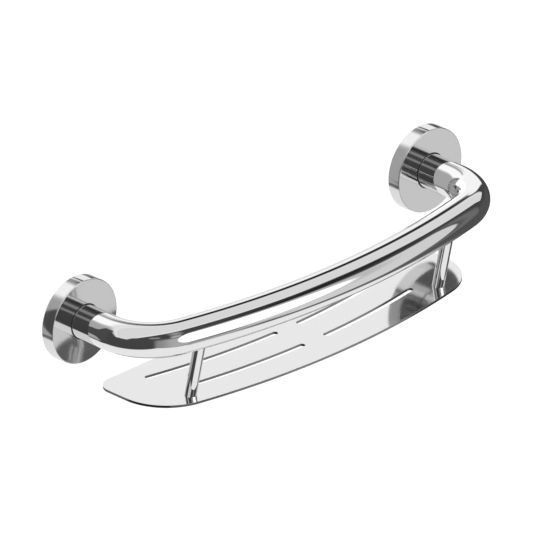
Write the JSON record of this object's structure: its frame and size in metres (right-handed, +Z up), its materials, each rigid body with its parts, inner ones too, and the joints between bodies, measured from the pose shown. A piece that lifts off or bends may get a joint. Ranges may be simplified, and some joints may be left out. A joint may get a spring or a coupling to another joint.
{
  "type": "wall grab bar with shelf",
  "caption": "Polished bowed wall grab bar with round concealed-fixing flange covers and a bow-fronted slotted shelf hung under the bar on leaning posts.",
  "frame": {"origin": "on the wall's face, midway between the two flanges, at the height of the bar's axis", "axes": "+X along the bar to the right as seen from the room, +Y into the wall, +Z up"},
  "size_m": [0.512, 0.1303, 0.1144],
  "materials": {
    "polished_steel": "mirror polished stainless steel",
    "plate_steel": "plain stainless steel, hidden behind the covers",
    "screw_steel": "plain stainless steel",
    "black_rubber": "matt black",
    "grey_rubber": "matt grey"
  },
  "bodies": {
    "frame": {"bar_tube": "polished_steel", "left_wall_plate": "plate_steel", "right_wall_plate": "plate_steel", "left_wall_gasket": "grey_rubber", "right_wall_gasket": "grey_rubber", "left_plate_ring": "black_rubber", "right_plate_ring": "black_rubber", "left_post": "polished_steel", "right_post": "polished_steel", "shelf_plate": "polished_steel", "left_shelf_washer": "screw_steel", "right_shelf_washer": "screw_steel", "left_shelf_screw": "screw_steel", "right_shelf_screw": "screw_steel"},
    "left_flange_cover": {"left_cover": "polished_steel", "left_cover_seal": "black_rubber"},
    "right_flange_cover": {"right_cover": "polished_steel", "right_cover_seal": "black_rubber"}
  },
  "joints": [
    {"name": "left_cover_slide", "type": "slide", "parent": "frame", "child": "left_flange_cover", "axis": [0, -1, 0], "range_m": [0, 0.03]},
    {"name": "right_cover_slide", "type": "slide", "parent": "frame", "child": "right_flange_cover", "axis": [0, -1, 0], "range_m": [0, 0.03]}
  ]
}
